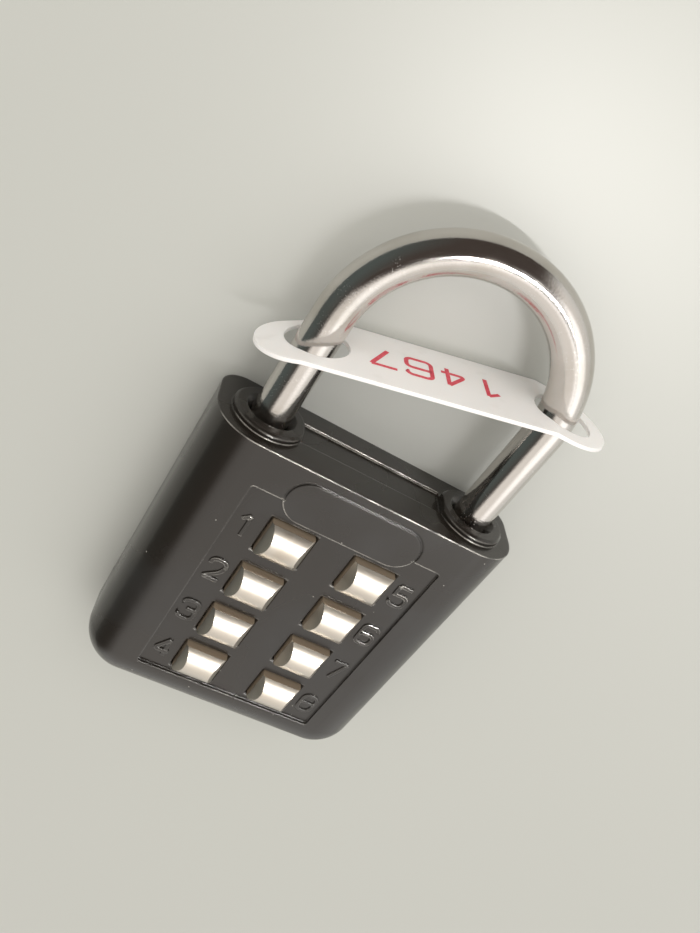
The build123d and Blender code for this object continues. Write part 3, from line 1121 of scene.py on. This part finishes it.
@dataclass(frozen=True)
class Shackle:
    """The chromed bar and the plastic tag that hangs on it, with the code's digits.

    Args:
        code: the digits, in the order in which they are read.
        first_digit: how far the first digit is from the middle line, along the tag's level.
        pitch: how far apart the digits are.
        slope: how much the tag rises for each unit across.
        level: where the tag's middle crosses the lock's middle line, along Y.
        thickness: how thick the tag is.
        digits: how the digits are drawn.
    """

    code: tuple[int, ...] = (1, 4, 6, 7)
    first_digit: float = 5.4 * MM
    pitch: float = 4.23 * MM
    slope: float = 0.25
    level: float = 22.8825 * MM
    thickness: float = 0.5 * MM
    digits: Lettering = Lettering(3.1 * MM, 4.15 * MM, 0.55 * MM, 0.02 * MM, 0.02 * MM, 0.004 * MM,
                                  0.001 * MM)

    def build(self) -> list[bpy.types.Object]:
        """Builds and dresses the tag's digits.

        Returns:
            The digits, in the order in which they are read.
        """
        depth = sum(corner.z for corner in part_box("tag")) / 2
        along = Vector((-1.0, -self.slope, 0.0)).normalized()
        outward = Vector((-self.slope, 1.0, 0.0)).normalized()
        deep = Vector((0.0, 0.0, 1.0))
        pieces = []
        for turn, number in enumerate(self.code):
            across = self.first_digit - turn * self.pitch
            spot = Vector((across, self.level + across * self.slope, depth)) + outward * self.thickness / 2
            place = Matrix.Translation(spot) @ Matrix((along, deep, outward)).transposed().to_4x4()
            piece = self.digits.digit(f"tag_digit_{turn + 1}", number, place)
            piece.data.materials.append(RED_INK.material())
            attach(piece, "tag")
            pieces.append(piece)
        return pieces

    def dress(self) -> None:
        """Gives the bar its chrome and the tag its plastic."""
        CHROME.dress("shackle")
        TAG_PLASTIC.dress("tag")


class Use(Enum):
    """What a lamp lights: everything, glossy surfaces with a gleam, or everything but without a gleam."""

    ALL = "all"
    GLEAM = "gleam"
    FILL = "fill"


@dataclass(frozen=True)
class Lamp:
    """A soft rectangular lamp.

    Args:
        name: the lamp's name.
        place: where it stands.
        size: its width and height.
        power: its power in watts.
        colour: its colour.
        use: what it lights.
    """

    name: str
    place: Place
    size: tuple[float, float]
    power: float
    colour: Colour = (1.0, 0.985, 0.95)
    use: Use = Use.ALL

    def build(self) -> None:
        """Hangs the lamp and turns it towards the lock."""
        data = bpy.data.lights.new(self.name, "AREA")
        data.shape = "RECTANGLE"
        data.size, data.size_y = self.size
        data.energy = self.power
        data.color = self.colour
        lamp = bpy.data.objects.new(self.name, data)
        lamp.location = self.place
        back = Vector(self.place).normalized()
        side = (Vector((1.0, 0.0, 0.0)) - back * back.x).normalized()
        lamp.rotation_euler = Matrix((side, back.cross(side), back)).transposed().to_euler()
        lamp.visible_diffuse = self.use is not Use.GLEAM
        lamp.visible_glossy = self.use is not Use.FILL
        bpy.context.scene.collection.objects.link(lamp)


@dataclass(frozen=True)
class DarkDome(Finish):
    """A dark dome over the lock, which only reflections show. It fades out at its rims.

    Each rim is two shares of the dome's radius: where the dome starts to show, and where it is whole.

    Args:
        far: its colour in the middle and towards the right.
        warmth: where its colour at the left end changes to that, along X, as shares of its radius.
        reach: how far it stands from the lock.
        low: the angle of its foot above the floor, in degrees.
        ahead: its rim towards the keys, along Y.
        aside: its rim towards the right, along X.
        left: the rim of its left part, along X.
        steps: how many facets it has up to the top.
    """

    name: str = "dark_card"
    colour: Colour = (0.100, 0.118, 0.112)
    far: Colour = (0.074, 0.059, 0.051)
    warmth: Span = (-0.85, -0.3)
    roughness: float = 0.9
    edge_radius: float = 0.0
    reach: float = 0.7
    low: float = 1.0
    ahead: Span = (-0.24, -0.08)
    aside: Span = (0.60, 0.42)
    left: Span = (-0.22, -0.46)
    steps: int = 24

    def build(self) -> None:
        """Turns the dome from one arc and stands it over the lock."""
        bm = bmesh.new()
        low = math.radians(self.low)
        foot = bm.verts.new((self.reach * math.cos(low), 0.0, self.reach * math.sin(low)))
        bmesh.ops.spin(bm, geom=[foot], cent=(0.0, 0.0, 0.0), axis=(0.0, -1.0, 0.0),
                       angle=math.radians(90.0) - low, steps=self.steps)
        bmesh.ops.spin(bm, geom=bm.verts[:] + bm.edges[:], cent=(0.0, 0.0, 0.0), axis=(0.0, 0.0, 1.0),
                       angle=math.radians(360.0), steps=4 * self.steps, use_merge=True)
        bmesh.ops.remove_doubles(bm, verts=bm.verts[:], dist=0.01 * MM)
        bmesh.ops.recalc_face_normals(bm, faces=bm.faces[:])
        dome = piece_of(bm, self.name)
        dome.data.materials.append(self.material())
        dome.visible_camera = False
        dome.visible_diffuse = False
        dome.visible_shadow = False
        dome.visible_transmission = False

    def wire(self, sheet: Sheet, shader: bpy.types.Node) -> None:
        """Makes the dome dark of itself and fades its rims.

        Args:
            sheet: the material's wiring sheet.
            shader: its shader.
        """
        x, y, _ = sheet.axes(sheet.place())
        beyond, aside, left, warm = (
            sheet.spread(value, rim[0] * self.reach, rim[1] * self.reach)
            for value, rim in ((y, self.ahead), (x, self.aside), (x, self.left), (x, self.warmth)))
        sheet.feed(shader, {
            "Base Color": (0.0, 0.0, 0.0, 1.0),
            "Specular IOR Level": 0.0,
            "Alpha": sheet.maths("MAXIMUM", sheet.times(beyond, aside), left),
            "Emission Color": sheet.blend(warm, self.colour, self.far),
            "Emission Strength": 1.0,
        })


@dataclass(frozen=True)
class Studio:
    """A pale floor, a soft bright surround, lamps, a dark dome, and the camera at the photograph's angle.

    Args:
        floor_size: the floor's side.
        floor_drop: how far it lies below the lock's back.
        zenith: the surround's colour overhead.
        horizon: its colour at the horizon.
        full_rise: how high up, as a direction's Z, the colour overhead is reached.
        glow: the colour in the middle of its soft bright patch.
        glow_towards: where that patch is.
        glow_rim: how near a direction is to it, as a cosine, where the patch starts and where it is full.
        eye: where the camera is.
        right: the picture's right.
        up: the picture's top.
        focal: the focal length in pixels.
        long_side: the picture's longer side in pixels.
        sensor: the sensor's longer side in millimetres.
        clip: the nearest and the farthest distance that the camera sees.
        lamps: the lamps.
        dome: the dark dome.
    """

    floor_size: float = 6.0
    floor_drop: float = 0.00002
    zenith: Colour = (1.02, 0.965, 0.90)
    horizon: Colour = (0.79, 0.79, 0.755)
    full_rise: float = 0.75
    glow: Colour = (1.75, 1.72, 1.67)
    glow_towards: Place = (0.62, -0.05, 0.78)
    glow_rim: Span = (0.86, 0.97)
    eye: Place = (-30.597 * MM, 52.188 * MM, 86.737 * MM)
    right: Place = (0.85342, 0.52121, -0.00228)
    up: Place = (-0.43435, 0.70877, -0.55586)
    focal: float = 759.187
    long_side: float = 933.0
    sensor: float = 36.0
    clip: Span = (MM, 100.0)
    lamps: tuple[Lamp, ...] = (
        Lamp("spark", (0.2, 0.03, 0.556), (0.18, 0.010), 4.0, use=Use.GLEAM),
        Lamp("fill", (0.05, 0.42, 0.42), (0.4, 0.4), 1.15, use=Use.FILL),
    )
    dome: DarkDome = DarkDome()

    def build(self) -> None:
        """Sets up the floor, the surround, the lamps, the dark dome and the camera."""
        self._floor()
        self._surround()
        for item in (*self.lamps, self.dome):
            item.build()
        self._camera()
        bpy.context.scene.view_settings.view_transform = "Standard"

    def _floor(self) -> None:
        """Lays the floor."""
        bm = bmesh.new()
        bmesh.ops.create_grid(bm, x_segments=1, y_segments=1, size=self.floor_size / 2)
        bmesh.ops.translate(bm, verts=bm.verts[:], vec=(0.0, 0.0, -self.floor_drop))
        floor = piece_of(bm, "floor")
        floor.data.materials.append(FLOOR.material())

    def _surround(self) -> None:
        """Makes the surround, brighter overhead than at the horizon and with one soft bright patch."""
        world = bpy.data.worlds.new("surround")
        bpy.context.scene.world = world
        world.use_nodes = True
        tree = world.node_tree
        tree.nodes.clear()
        sheet = Sheet(tree)
        direction = sheet.put(Kind.COORDINATES, {}).outputs["Generated"]
        rise = sheet.axes(direction)[2]
        sky = sheet.blend(sheet.spread(rise, 0.0, self.full_rise), self.horizon, self.zenith)
        middle = tuple(Vector(self.glow_towards).normalized())
        near = sheet.put(Kind.VECTOR_MATHS, {0: direction, 1: middle}, operation="DOT_PRODUCT")
        outer, inner = self.glow_rim
        patch = sheet.put(Kind.RANGE, {"Value": near.outputs["Value"], "From Min": outer, "From Max": inner},
                          interpolation_type="SMOOTHSTEP").outputs["Result"]
        light = sheet.put(Kind.BACKGROUND, {"Color": sheet.blend(patch, sky, self.glow)})
        sheet.put(Kind.WORLD_OUTPUT, {"Surface": light.outputs[0]})

    def _camera(self) -> None:
        """Stands the camera where the photograph was taken from."""
        data = bpy.data.cameras.new("camera")
        data.sensor_width = self.sensor
        data.lens = self.focal * self.sensor / self.long_side
        data.clip_start, data.clip_end = self.clip
        camera = bpy.data.objects.new("camera", data)
        right, up = Vector(self.right), Vector(self.up)
        turned = Matrix((right, up, right.cross(up))).transposed()
        camera.matrix_world = Matrix.Translation(Vector(self.eye)) @ turned.to_4x4()
        bpy.context.scene.collection.objects.link(camera)
        bpy.context.scene.camera = camera


def main() -> None:
    """Builds and dresses the padlock, piece by piece, and sets up the studio."""
    logging.basicConfig(level=logging.INFO, format="%(message)s")
    housing, shackle = Housing(), Shackle()
    for piece in housing.build() + shackle.build():
        log.info("built %s, %d faces", piece.name, len(piece.data.polygons))
    for assembly in (housing, shackle, KeyBank(), Mechanism()):
        assembly.dress()
        log.info("dressed the %s", type(assembly).__name__)
    Studio().build()


if __name__ == "__main__":
    main()
